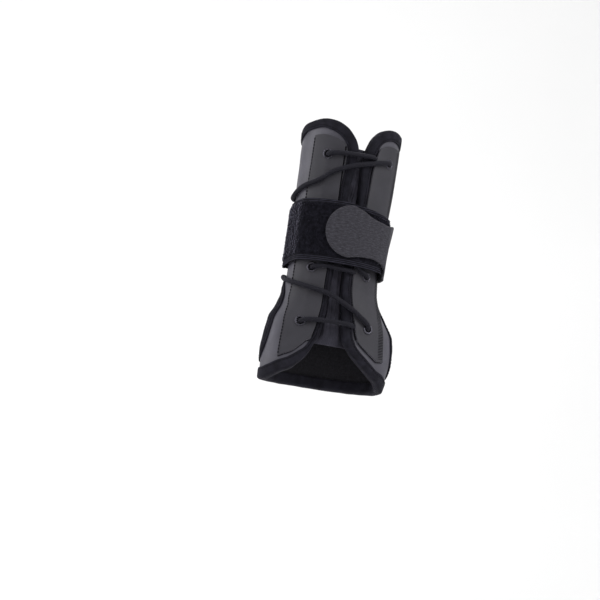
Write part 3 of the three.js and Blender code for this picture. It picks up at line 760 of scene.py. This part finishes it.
# Points round the section: the edge of the tape (in) or of the cloth (edge) that a point is measured
# from, millimetres inward from there, and height over the wrap
TAPE_SECTION = (
    ("in", 0.0, 0.06), ("in", 0.0, 0.85), ("in", -0.35, 1.2), ("in", -1.0, 1.32), ("in", -1.6, 1.12),
    ("in", -2.1, 1.34), ("edge", 0.6, 1.5), ("edge", -0.5, 1.32), ("edge", -1.25, 0.6),
    ("edge", -1.6, -0.6), ("edge", -1.65, -2.0), ("edge", -1.6, -3.4), ("edge", -1.25, -4.6),
    ("edge", -0.5, -5.3), ("edge", 0.6, -5.45), ("in", -1.2, -5.35), ("in", -0.35, -5.2),
    ("in", 0.0, -4.85), ("in", 0.0, -4.06), ("edge", -0.15, -4.06), ("edge", -0.15, 0.06),
)


def soften_loop(loop, spacing, spread):
    """A loop of places and widths, evenly spaced in millimetres and rounded at its corners."""
    deg, z, _ = loop.T
    even = evenly(np.concatenate([form(deg, z), loop], -1), spacing, closed=True)[:, 3:]
    reach = int(3 * spread / spacing)
    weight = np.exp(-0.5 * (np.arange(-reach, reach + 1) * spacing / spread) ** 2)
    weight /= weight.sum()
    return [np.convolve(np.pad(values, reach, "wrap"), weight, "valid") for values in even.T]


def moved_in(deg, z, inset):
    """A loop of places moved inward by millimetres, where it runs round the cloth."""
    scale = mm_per_deg(deg, z)
    run_x = (np.roll(deg, -1) - np.roll(deg, 1)) * scale
    run_z = np.roll(z, -1) - np.roll(z, 1)
    length = np.hypot(run_x, run_z)
    return deg - run_z / length / scale * inset, z + run_x / length * inset


def make_tape(name, deg, z, leg, turn, seed):
    """Tape folded over a loop of places, leg wide, with turn -1 where the loop runs the other way."""
    outer_from, inner_from, fold_from = 0.5, -4.5, -1
    point_step, fold_line, row_width = 4.0, 60.0, 1.2
    face_pucker = waviness(seed, scale_mm=9, height_mm=0.13)
    edge_pucker = waviness(seed, scale_mm=9, height_mm=0.12)
    travel = travelled(form(deg, z))
    rows = []
    for k, (anchor, offset, n) in enumerate(TAPE_SECTION):
        inset = (leg * (anchor == "in") + offset) * turn
        lift = 0.0
        if n > outer_from or n < inner_from:
            lift = face_pucker(travel, point_step * k) * np.sign(n)
        if anchor == "edge" and offset < fold_from:
            inset += edge_pucker(travel, fold_line)
        rows.append(on_wrap(*moved_in(deg, z, inset), n + lift))
    sections = np.stack(rows, 1)
    points = sections.reshape(-1, 3)
    faces = outward(points, loft(sections, closed=True))
    cloth = on_cloth(travel[:, None], row_width * np.arange(1, len(rows) + 1))
    return build(name, points, faces, [TAPE], cloth)


def rim_leg(deg):
    """Width of the rim's tape, which is narrower on the little-finger side."""
    narrow = smooth(*RIM_LEG["narrows"], deg) * smooth(*RIM_LEG["widens"], deg)
    return RIM_LEG["full"] - RIM_LEG["narrowed"] * narrow


def outline_loop():
    """Places round the wrap's whole outer edge, with the tape's width at each."""
    s = np.linspace(0, 1, 400, endpoint=False)
    bottom, top = outline_bottom(s), outline_top(1 - s)
    ulnar, radial = outline_ulnar(s), outline_radial(1 - s)
    parts = [
        (*bottom, hem_leg(bottom[0])), (*ulnar, ulnar_leg(ulnar[1])),
        (*top, rim_leg(top[0])), (*radial, radial_leg(radial[1])),
    ]
    joined = np.concatenate([np.stack(part, -1) for part in parts])
    return soften_loop(joined, spacing=0.65, spread=1.3)


# Stitches
def capsules(name, centres, along, up, length, width, slot="tape"):
    """Small rounded stitches, each with a centre, a direction and an upward side."""
    sides = 6
    ring = np.array([(-0.5, 0.25), (-0.36, 0.85), (0.0, 1.0), (0.36, 0.85), (0.5, 0.25)])
    angle = circle(sides)
    along = unit(along)
    side = unit(np.cross(along, up))
    lift = np.cross(side, along)
    points = np.stack([
        centres + along * position * length + (side * math.cos(a) + lift * math.sin(a)) * thick * width / 2
        for position, thick in ring for a in angle
    ], 1)
    one = loft(points[0].reshape(len(ring), sides, 3), closed=False)
    end = np.array([[0, 1, 2, 3], [0, 3, 4, 5]])
    last = (len(ring) - 1) * sides
    quads = outward(points[0], np.concatenate([one, end[:, ::-1], last + end]))
    count = len(ring) * sides
    faces = (quads[None] + np.arange(len(centres))[:, None, None] * count).reshape(-1, 4)
    return build(name, points.reshape(-1, 3), faces, [THREAD])


def stitch_line(deg, z, n, pitch):
    """Centres, directions and upward sides of stitches along a line of places."""
    line = np.stack(np.broadcast_arrays(deg, z, n), -1)
    even = evenly(np.concatenate([on_wrap(deg, z, n), line], -1), pitch)
    centres = (even[1:, :3] + even[:-1, :3]) / 2
    along = even[1:, :3] - even[:-1, :3]
    places = (even[1:, 3:] + even[:-1, 3:]) / 2
    up = on_wrap(places[:, 0], places[:, 1], places[:, 2] + 1) - on_wrap(*places.T)
    return centres, along, up


# Lace panels
def panel_edges(side):
    """The lower, upper, inner and outer edges of a lace panel."""
    inner = through(PANEL, "z", side + "_in")
    outer = through(PANEL, "z", side + "_out")
    corner = PANEL_CORNER[side]

    def top_z(deg):
        return rim_at(np.mod(deg, 360)) - PANEL_BELOW_RIM

    def bottom_z(deg):
        rounding = corner["rise"] * smooth(corner["from"], corner["to"], deg)
        return hem_at(np.mod(deg, 360)) + PANEL_ABOVE_HEM + rounding

    def rail(edge):
        """A side edge, between the heights where it meets the lower and upper edges."""
        low, high = -40.0, 95.0
        for _ in range(6):
            low, high = float(bottom_z(edge(low))), float(top_z(edge(high)))
        return lambda t: (edge(mix(low, high, t)), mix(low, high, t))

    start, end = rail(inner), rail(outer)

    def cross(level, t):
        ends = [float(edge(np.array(t))[0]) for edge in (start, end)]
        return lambda s: (mix(*ends, s), level(mix(*ends, s)))

    return cross(bottom_z, 0.0), cross(top_z, 1.0), start, end


def near_form(points):
    """Height of points over the wrap's outer face, for points close to it."""
    z = points[:, 2]
    x = (points[:, 0] - centre_x(z)) / half_width(z)
    y = (points[:, 1] - centre_y(z)) / half_depth(z)
    deg = np.degrees(np.arctan2(x, -y))
    gap = points - form(deg, z)
    return np.linalg.norm(gap, axis=-1) * np.sign(np.hypot(x, y) - 1)


def lace_ridge(deg, z):
    """The swell of a panel over the lace that runs under it."""
    height, spread, deepest = 0.45, 2.6, -0.3
    under = LACE_POINTS[near_form(LACE_POINTS) < deepest][::3]
    gap = np.linalg.norm(form(deg, z)[..., None, :] - under, axis=-1).min(-1)
    return height * np.exp(-(gap / spread) ** 2)


def make_panel(side):
    ruck = waviness(seed={"ulnar": 20, "radial": 22}[side], scale_mm=30, height_mm=0.1)
    s, t = grid(counts=(56, 230), lengths=(32, 150), radius=0.9)
    deg, z = patch(*panel_edges(side), s, t)
    if side == "ulnar":
        deg, z = deg[::-1], z[::-1]
    lift = lace_ridge(deg, z) + ruck(deg * WRAP_MM_PER_DEG, z)
    middle_deg, middle_z = cell_middles(deg), cell_middles(z)
    keep = np.ones(middle_z.shape, bool)
    for eyelet_deg, eyelet_z in zip(EYELETS[side], EYELETS[side + "_z"]):
        across = (middle_deg - eyelet_deg) * mm_per_deg(eyelet_deg, eyelet_z)
        keep &= np.hypot(across, middle_z - eyelet_z) > EYELET_HOLE + EYELET_PLAY
    return wall(
        f"lace_panel_{side}", deg, z, PANEL_LOW + lift, PANEL_HIGH + lift, [LEATHERETTE, CUT_EDGE_AND_HIGHLIGHT],
        radius=0.35, keep=keep, zones=(0, 0, 1),
    )


def make_eyelet(side, number, deg, z):
    """A ring turned from a rolled crown and a barrel, as radius and height."""
    arc = np.linspace(0, math.pi, 9)
    middle, half = (EYELET_RIM + EYELET_HOLE) / 2, (EYELET_RIM - EYELET_HOLE) / 2
    foot, height, roundness = EYELET_CROWN.values()
    crown = [(middle + half * math.cos(a), foot + height * math.sin(a) ** roundness) for a in arc]
    outside, depth = EYELET_HOLE + EYELET_BARREL["wall"], EYELET_BARREL["depth"]
    barrel = [(EYELET_HOLE, -depth), (outside, -depth), (outside, 0.0), (EYELET_RIM, 0.0)]
    radius, level = np.array(crown + barrel).T
    angle = circle(40)[:, None]
    rings = np.stack(np.broadcast_arrays(np.cos(angle) * radius, np.sin(angle) * radius, level), -1)
    axis = Vector(on_wrap(deg, z, 1) - on_wrap(deg, z, 0))
    to_axis = np.array(Vector((0, 0, 1)).rotation_difference(axis).to_matrix())
    points = rings.reshape(-1, 3) @ to_axis.T + on_wrap(deg, z, PANEL_HIGH)
    faces = outward(points, loft(rings, closed=True))
    return build(f"eyelet_{side}_{number}", points, faces, [METAL])


# Tongue

# Each crease's place, lean for a millimetre up and width, in an opening that goes from -1 to 1 across,
# then its depth, and its middle and reach up and down
TONGUE_CREASES = table(
    ("at", "lean", "width", "depth", "z", "reach"),
    (0.12, 0.03, 0.07, 1.0, 66, 20), (-0.3, 0.012, 0.06, 0.7, 62, 16), (0.3, 0.0, 0.06, 0.8, 0, 34),
    (-0.2, -0.006, 0.09, 0.5, -22, 20), (0.05, 0.01, 0.08, 0.5, 86, 14),
)


def tongue_creases(across, z):
    """Depth of all the creases at places on the tongue."""
    fade = 12
    total = 0
    for at, lean, width, depth, middle, reach in zip(*TONGUE_CREASES.values()):
        groove = np.exp(-((across - at - lean * (z - middle)) / width) ** 2)
        total += depth * groove * smooth(reach, reach - fade, np.abs(z - middle))
    return total


def make_tongue():
    s, t = grid(counts=(150, 200), lengths=(34, 130), radius=0.8)
    deg = mix(TONGUE["from"], TONGUE["to"], s)
    z = mix(TONGUE["bottom"], TONGUE["top"], t)
    left, right = ulnar_edge(z), radial_edge(z)
    across = 2 * (deg - left) / (right - left) - 1
    swell = SWELL["height"] * smooth(*SWELL["edge"], np.abs(across))
    swell *= smooth(*SWELL["bottom"], z - TONGUE["bottom"]) * smooth(*SWELL["top"], TONGUE["top"] - z)
    ruck = waviness(seed=5, scale_mm=16, height_mm=0.3)(deg * WRAP_MM_PER_DEG, z)
    lift = swell - tongue_creases(across, z) + ruck
    low, high = TONGUE["low"] + lift, TONGUE["high"] + lift
    return wall("tongue", deg, z, low, high, [KNIT], radius=0.8)


# Lace

# The braid's strands each way, millimetres for a turn, points round the cord and millimetres between
# rings of points, and the radius between strands and a strand's height, as shares of the cord's radius
BRAID_SHAPE = {"strands": 4, "turn": 9.5, "round": 24, "step": 0.42, "between": 0.93, "proud": 0.09}


def make_lace():
    strands, around, step = BRAID_SHAPE["strands"], BRAID_SHAPE["round"], BRAID_SHAPE["step"]
    line = evenly(LACE_POINTS, step)
    travel = np.arange(len(line)) * step
    run = unit(np.gradient(line, axis=0))
    side = np.zeros_like(run)
    not_along = (0.3, 0.2, 1.0)
    side[0] = np.cross(run[0], not_along)
    for i in range(1, len(run)):
        side[i] = side[i - 1] - run[i] * np.dot(side[i - 1], run[i])
    side = unit(side)
    up = np.cross(run, side)
    angle = circle(around)
    twist = 2 * math.pi / BRAID_SHAPE["turn"] * travel[:, None]
    strand = np.maximum(np.cos(strands * (angle + twist)), np.cos(strands * (angle - twist)))
    radius = CORD_RADIUS * (BRAID_SHAPE["between"] + BRAID_SHAPE["proud"] * strand)
    spokes = np.cos(angle)[:, None] * side[:, None] + np.sin(angle)[:, None] * up[:, None]
    rings = line[:, None] + radius[..., None] * spokes
    points = rings.reshape(-1, 3)
    body = loft(rings, closed=False)
    fan = np.array([(0, k, k + 1, k + 2) for k in range(1, around - 2, 2)])
    last_ring = len(points) - around
    caps = [around - 1 - fan, last_ring + fan]
    faces = outward(points, np.concatenate([body, *caps]))
    cloth = on_cloth(travel[:, None], angle * CORD_RADIUS)
    return build("lace", points, faces, [BRAID], cloth)


# Straps
def bulge(deg, at, reach):
    """A soft rise to 1 at a place round the arm."""
    return np.exp(-((deg - at) / reach) ** 2)


def pressing(deg):
    """How far the hook strap's full width presses the pile flat."""
    return LOOP["pressed"] * smooth(*LOOP["press"], deg)


# The plush strap's lower edge hangs loose on the little-finger side and curls under the hook strap:
# place and reach in degrees, and millimetres that the edge drops and lifts
LOOSE = {"at": -100, "reach": 17, "drop": 3, "lift": 1.8}
CURL = {"at": 62, "reach": 7, "drop": 4, "lift": 0.8}
SELVEDGE_SHAPE = {"low": 4.6, "high": 3.0, "blend": 0.6, "cord": 1.28, "groove": 0.22, "sunk": 0.7}
TUFT = {"spread": 0.2, "evened": 1.8, "most": 0.5}


def make_loop_strap():
    s, t = grid(counts=(330, 118), lengths=(175, 42), radius=1.0)
    deg = mix(LOOP["from"], LOOP["to"], s)
    loose = bulge(deg, LOOSE["at"], LOOSE["reach"]) * (1 - t)
    curl = bulge(deg, CURL["at"], CURL["reach"]) * (1 - t) ** 4
    width = loop_width(deg)
    z = loop_line(deg) + (t - 0.5) * width - LOOSE["drop"] * loose * (1 - t) - CURL["drop"] * curl
    sag = waviness(seed=8, scale_mm=34, height_mm=0.25)(deg * STRAP_MM_PER_DEG, z)
    flat_at_ends = (100, 60)
    sag *= smooth(*flat_at_ends, np.abs(deg))
    lift = loop_lift(deg) + sag + LOOSE["lift"] * loose + CURL["lift"] * curl

    low_side, high_side = t * width, (1 - t) * width
    shape = SELVEDGE_SHAPE
    selvedge = np.maximum(
        smooth(shape["low"], shape["low"] - shape["blend"], low_side),
        smooth(shape["high"], shape["high"] - shape["blend"], high_side),
    )
    cords = shape["groove"] * np.cos(2 * math.pi * low_side / shape["cord"]) - shape["sunk"]
    tuft = RNG.normal(0, TUFT["spread"], s.shape)
    tuft = (tuft + np.roll(tuft, 1, 0) + np.roll(tuft, 1, 1)) / TUFT["evened"]
    pile = np.clip(tuft, -TUFT["most"], TUFT["most"])
    high = lift + LOOP["thick"] - pressing(deg) + pile * (1 - selvedge) + cords * selvedge
    return wall(
        "loop_strap", deg, z, lift, high, [PILE, SELVEDGE], radius=0.9,
        cloth_up=low_side, zones=(0, 1, 1),
        outer_zone=np.where(cell_middles(selvedge) > 0.5, 1, 0),
    )


def hook_width(deg):
    """A round end, then a neck and the full width behind it."""
    end, width = HOOK_SHAPE["deg"][0], HOOK_SHAPE["width"][0]
    across = np.clip((end - deg) / (end - HOOK["from"]), 0, 1)
    rounded = np.maximum(HOOK["tip"], width * np.sqrt(1 - across ** 2))
    return np.where(deg < end, rounded, hook_breadth(deg))


def make_hook_strap():
    closer_at_tip = 1.7
    along = steps(count=240, length=150, radius=0.6) ** closer_at_tip
    s, t = np.meshgrid(along, steps(count=56, length=36, radius=0.8), indexing="ij")
    deg = mix(HOOK["from"], HOOK["to"], s)
    z = hook_line(deg) + (t - 0.5) * hook_width(deg)
    proud = smooth(*PROUD["rise"], deg) * smooth(*PROUD["fall"], deg) * smooth(*PROUD["edge"], t)
    ruck = waviness(seed=41, scale_mm=22, height_mm=0.15)(deg * STRAP_MM_PER_DEG, z)
    sunk = pressing(deg) * smooth(*LOOP["press_end"], deg)
    lift = hook_lift(deg) - sunk + PROUD["height"] * proud + ruck
    return wall("hook_strap", deg, z, lift, lift + HOOK["thick"], [HEATHER], radius=0.8)


def make_tab():
    s, t = grid(counts=(30, 80), lengths=(13, 64), radius=0.5)
    deg = mix(TAB["from"], TAB["to"], s)
    z = mix(TAB["bottom"], TAB["top"], t)
    low, high = TAB["low"], TAB["low"] + TAB["thick"]
    return wall("lace_pull_tab", deg, z, low, high, [HEATHER], radius=0.5)


# Seams, and dark thread as painted shade along the lace panels' inner edges
def tape_stitches(name, deg, z, leg, turn):
    """A row of stitches in the groove along the inner edge of folded tape."""
    groove, sunk = 1.6, 0.22
    line = moved_in(deg, z, (leg - groove) * turn)
    ring_deg, ring_z = (np.append(values, values[0]) for values in line)
    row = stitch_line(ring_deg, ring_z, TAPE_HIGH - sunk, pitch=2.5)
    return capsules(name, *row, length=1.9, width=0.55)


def panel_seam(edge, n, pitch, across=0.0, up=0.0):
    """Stitches along an edge of a lace panel, moved across and up by millimetres."""
    deg, z = edge(np.linspace(0.01, 0.99, 300))
    return stitch_line(deg + across / mm_per_deg(deg, z), z + up, n, pitch)


def panel_stitches_and_shade(side, toward_middle):
    """The stitches along a lace panel's outer and lower edges, and a near-black thread line along its inner
    edge that paints the shade under the panel's lifted edge.
    """
    lower, _, inner, outer = panel_edges(side)
    if side == "ulnar":
        row = panel_seam(outer, PANEL_HIGH, pitch=2.2, across=0.5)
        seam = capsules("panel_seam_ulnar", *row, length=1.7, width=1.0, slot="panel")
    else:
        centres, along, up = panel_seam(outer, PANEL_HIGH, pitch=1.1, across=-2.9)
        rungs = np.cross(along, up)
        seam = capsules("panel_seam_radial", centres, rungs, up, length=5.0, width=0.5, slot="panel")
    # Painted shade: wide near-black thread sunk into the gap beside the panel's inner edge, where the
    # lifted edge throws its shadow
    row = panel_seam(inner, n=0.7, pitch=1.6, across=toward_middle * 0.5)
    shade_line = capsules(f"panel_welt_{side}", *row, length=1.9, width=1.25, slot="panel")
    row = panel_seam(lower, n=0.8, pitch=1.5, up=-0.3)
    foot = capsules(f"panel_foot_{side}", *row, length=1.7, width=0.6, slot="panel")
    return seam, shade_line, foot


STITCH_PROUD = 0.1
# The sewn boxes at the fixed ends of the straps
LOOP_BOX = {"degs": (-176, -164), "heights": (16, 50)}
HOOK_BOX = {"degs": (158, 170), "heights": (17, 49)}


def box_stitches(name, lift, thick, degs, heights):
    """A sewn box with a cross in it, where a strap is fixed to the wrap."""
    route = ((0, 0), (1, 0), (1, 1), (0, 1), (0, 0), (1, 1), (1, 0), (0, 1))
    corners = [(degs[i], heights[j]) for i, j in route]
    t = np.linspace(0, 1, 30)
    rows = []
    for (deg_a, z_a), (deg_b, z_b) in zip(corners[:-1], corners[1:]):
        deg, z = mix(deg_a, deg_b, t), mix(z_a, z_b, t)
        rows.append(stitch_line(deg, z, lift(deg) + thick + STITCH_PROUD, pitch=2.6))
    centres, along, up = (np.concatenate(part) for part in zip(*rows))
    return capsules(name, centres, along, up, length=2.0, width=0.6, slot="loop_strap")


shell = make_shell()
edge_loop = outline_loop()
edge_binding = make_tape("edge_binding", *edge_loop, turn=1, seed=51)
tape_stitches("edge_stitches", *edge_loop, turn=1)
for hand, hand_turn in (("radial", 1), ("ulnar", -1)):
    hole_loop = soften_loop(thumb_line(hand_turn), spacing=0.65, spread=0.7)
    thumb_binding = make_tape(f"thumb_binding_{hand}", *hole_loop, turn=-hand_turn, seed=60 + hand_turn)
    stitches = tape_stitches(f"thumb_stitches_{hand}", *hole_loop, turn=-hand_turn)
for hand, toward_middle in (("ulnar", 1), ("radial", -1)):
    panel = make_panel(hand)
    stitches_and_shade = panel_stitches_and_shade(hand, toward_middle)
    for pair, (at_deg, at_z) in enumerate(zip(EYELETS[hand], EYELETS[hand + "_z"])):
        make_eyelet(hand, pair + 1, float(at_deg), float(at_z))
make_tongue()
make_lace()
loop_box = box_stitches("loop_box_stitches", loop_lift, LOOP["thick"], **LOOP_BOX)
make_loop_strap()
hook_box = box_stitches("hook_box_stitches", hook_lift, HOOK["thick"], **HOOK_BOX)
make_hook_strap()
make_tab()


# Camera, light and floor
AZIMUTH, ELEVATION, ROLL = math.radians(-15), math.radians(-10), math.radians(8.4)
DISTANCE = 1.2
MM_PER_PIXEL = 0.7
ORIGIN_PIXEL = (329.5, 290)
IMAGE = 600
SENSOR = 36
WORLD_STRENGTH = 0.75
# Each light's place and size in metres, and its watts
LIGHTS = {
    "key": {"place": (0.75, -1.0, 0.8), "size": (0.9, 0.9), "watts": 14},
    "fill": {"place": (-1.17, 0.1, 0.3), "size": (0.8, 1.2), "watts": 10.5},
    "top": {"place": (0.0, 0.1, 1.3), "size": (1.2, 1.0), "watts": 5.5},
}


def make_camera():
    data = bpy.data.cameras.new("camera")
    camera = add("camera", data)
    level = Euler((math.pi / 2 - ELEVATION, 0, AZIMUTH)).to_matrix()
    turn = level @ Matrix.Rotation(ROLL, 3, "Z")
    right, up, out = turn.transposed()
    aside = right * (ORIGIN_PIXEL[0] - IMAGE / 2) + up * (IMAGE / 2 - ORIGIN_PIXEL[1])
    place = out * DISTANCE - aside * MM_PER_PIXEL * MM
    camera.matrix_world = Matrix.Translation(place) @ turn.to_4x4()
    data.sensor_width = SENSOR
    data.lens = SENSOR * DISTANCE / (IMAGE * MM_PER_PIXEL * MM)
    data.clip_end = 20
    bpy.context.scene.camera = camera


def make_light(name, place, size, watts):
    data = bpy.data.lights.new(name, "AREA")
    data.shape = "RECTANGLE"
    data.size, data.size_y = size
    data.energy = watts
    lamp = add(name, data)
    lamp.location = place
    lamp.rotation_euler = (-Vector(place)).to_track_quat("-Z", "Y").to_euler()


def make_stage():
    """A pale floor that sweeps up into a wall behind."""
    front, back, floor, side = -3.5, 1.6, -0.62, 4.0
    radius, wall_height = 0.7, 3
    bend_from, bend_to = 0.55, 0.8
    depth = np.linspace(0, 1, 40)
    bend = np.clip((depth - bend_from) / (bend_to - bend_from), 0, 1) * math.pi / 2
    climb = np.maximum(depth - bend_to, 0) / (1 - bend_to)
    y = mix(front, back - radius, np.minimum(depth / bend_from, 1)) + radius * np.sin(bend)
    z = floor + radius * (1 - np.cos(bend)) + wall_height * climb
    points = [(a, b, c) for b, c in zip(y, z) for a in (-side, side)]
    faces = [(2 * i, 2 * i + 1, 2 * i + 3, 2 * i + 2) for i in range(len(depth) - 1)]
    mesh = bpy.data.meshes.new("floor")
    mesh.from_pydata(points, [], faces)
    mesh.shade_smooth()
    mesh.materials.append(floor_material())
    stage = add("floor", mesh)


def make_world():
    world = bpy.data.worlds.new("studio")
    world.use_nodes = True
    background = world.node_tree.nodes["Background"]
    background.inputs["Color"].default_value = (1, 1, 1, 1)
    background.inputs["Strength"].default_value = WORLD_STRENGTH
    bpy.context.scene.world = world
    bpy.context.scene.view_settings.view_transform = "Standard"


make_camera()
make_stage()
make_world()
for light_name, light in LIGHTS.items():
    make_light(light_name, **light)
